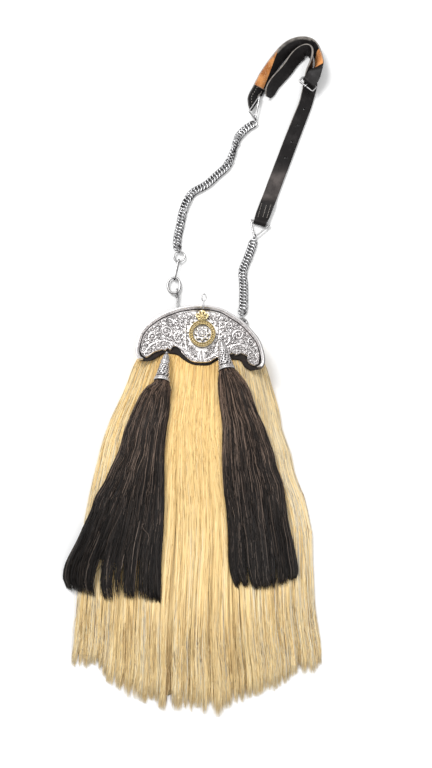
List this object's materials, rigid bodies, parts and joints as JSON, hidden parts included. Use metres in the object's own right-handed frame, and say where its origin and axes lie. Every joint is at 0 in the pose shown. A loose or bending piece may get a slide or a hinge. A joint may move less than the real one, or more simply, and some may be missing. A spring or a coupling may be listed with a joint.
{
  "type": "horsehair sporran pouch",
  "caption": "Hide pouch with long pale horsehair, dark tassels in metal cones, a half-moon relief cantle, and a chain and leather waist strap, lying on its back.",
  "frame": {"origin": "a point near the middle of the pouch's flat leather back, which lies on the surface", "axes": "+Z out of the pouch's front, away from the surface it lies on; +Y from the hair tips towards the cantle and the strap; +X to the right seen from the front"},
  "size_m": [0.3614, 0.9706, 0.0636],
  "materials": {
    "black_leather": "matt black",
    "strap_leather": "smooth black with tan flesh side",
    "pale_hair": "straw blonde horsehair",
    "dark_hair": "brown-black horsehair",
    "silver": "polished silver plate",
    "gold": "pale gilt"
  },
  "bodies": {
    "root": {"pouch_body": "black_leather", "hair_beard": "pale_hair", "cantle_backing": "black_leather", "cantle_plate": "silver", "cantle_rim": "silver", "badge_ring": "gold", "badge_crest": "gold", "badge_rosette": "silver", "top_eye": "silver", "tassel_cone_left": "silver", "tassel_cone_right": "silver", "tassel_staple_left": "silver", "tassel_staple_right": "silver", "tassel_hair_left": "dark_hair", "tassel_hair_right": "dark_hair", "ring_tab_left": "black_leather", "ring_tab_right": "black_leather", "d_ring_left": "silver", "d_ring_right": "silver", "chain_hook": "silver", "large_ring": "silver", "joining_link": "silver", "small_ring": "silver", "chain_left": "silver", "chain_right": "silver", "triangle_left": "silver", "triangle_right": "silver", "strap_long": "strap_leather", "strap_short": "strap_leather", "buckle_frame": "silver", "buckle_prong": "silver"}
  },
  "joints": []
}
